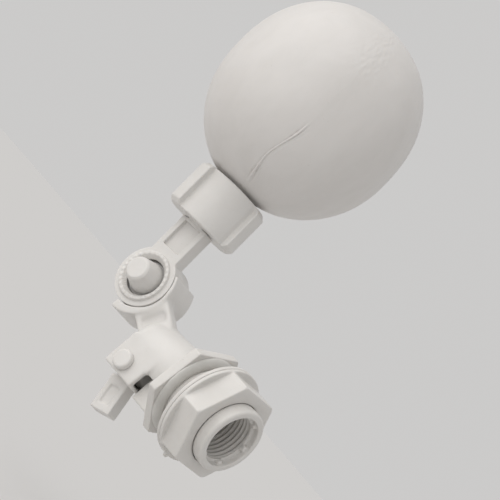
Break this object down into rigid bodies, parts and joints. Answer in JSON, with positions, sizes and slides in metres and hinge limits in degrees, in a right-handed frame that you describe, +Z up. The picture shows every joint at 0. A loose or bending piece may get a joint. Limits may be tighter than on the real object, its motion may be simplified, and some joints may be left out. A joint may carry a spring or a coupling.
{
  "type": "float valve",
  "caption": "Plastic side-inlet float valve: threaded inlet with hex flange and nut, pivoting lever, adjustable arm and ball float.",
  "frame": {"origin": "centre of the flange face that seats on the tank wall, on the inlet axis", "axes": "+X along the inlet axis out of its mouth, +Z up towards the float, Y along the lever's hinge"},
  "size_m": [0.1214, 0.0753, 0.1719],
  "materials": {
    "moulded_white": "satin moulded polypropylene",
    "float_skin": "satin blow-moulded polyethylene",
    "seal_rubber": "pale grey rubber",
    "bolt_steel": "plain stainless steel"
  },
  "bodies": {
    "root": {"valve_body": "moulded_white", "flange_gasket": "seal_rubber", "nozzle_seat": "moulded_white", "seat_o_ring": "seal_rubber", "inlet_strainer": "moulded_white", "inlet_washer": "seal_rubber", "pivot_pin": "moulded_white", "pin_retainer": "moulded_white"},
    "slip_washer": {"tank_washer": "moulded_white"},
    "nut": {"tank_nut": "moulded_white"},
    "plunger": {"plunger": "moulded_white", "plunger_seal": "seal_rubber", "plunger_o_ring": "seal_rubber"},
    "lever": {"lever": "moulded_white", "joint_bolt": "bolt_steel", "lock_washer": "bolt_steel"},
    "knob": {"clamp_knob": "moulded_white"},
    "arm": {"float_arm": "moulded_white"},
    "float": {"collar_nut": "moulded_white", "collar_washer": "seal_rubber", "float_shell": "float_skin", "float_plug": "float_skin"}
  },
  "joints": [
    {"name": "lever_swing", "type": "hinge", "parent": "root", "child": "lever", "pos_m": [-0.0229, 0, -0.01], "axis": [0, 1, 0], "range_deg": [0, 11.3]},
    {"name": "plunger_slide", "type": "slide", "parent": "root", "child": "plunger", "axis": [1, 0, 0], "range_m": [0, 0.002]},
    {"name": "arm_tilt", "type": "hinge", "parent": "lever", "child": "arm", "pos_m": [-0.0495, -0.00435, 0.015], "axis": [0, 1, 0], "range_deg": [-115, 18]},
    {"name": "knob_turn", "type": "hinge", "parent": "lever", "child": "knob", "pos_m": [-0.0495, -0.0072, 0.015], "axis": [0, 1, 0], "continuous": true},
    {"name": "float_turn", "type": "hinge", "parent": "arm", "child": "float", "pos_m": [-0.0501, -0.00435, 0.01495], "axis": [-0.0906, 0, 0.9959], "continuous": true},
    {"name": "washer_travel", "type": "slide", "parent": "root", "child": "slip_washer", "axis": [1, 0, 0], "range_m": [-0.0055, 0]},
    {"name": "nut_turn", "type": "hinge", "parent": "slip_washer", "child": "nut", "pos_m": [0.012, 0, 0], "axis": [1, 0, 0], "range_deg": [-1080, 0]}
  ],
  "couplings": [
    {"joint": "plunger_slide", "follows": "lever_swing", "m_per_rad": 0.0101},
    {"joint": "washer_travel", "follows": "nut_turn", "m_per_rad": 0.0002887}
  ]
}
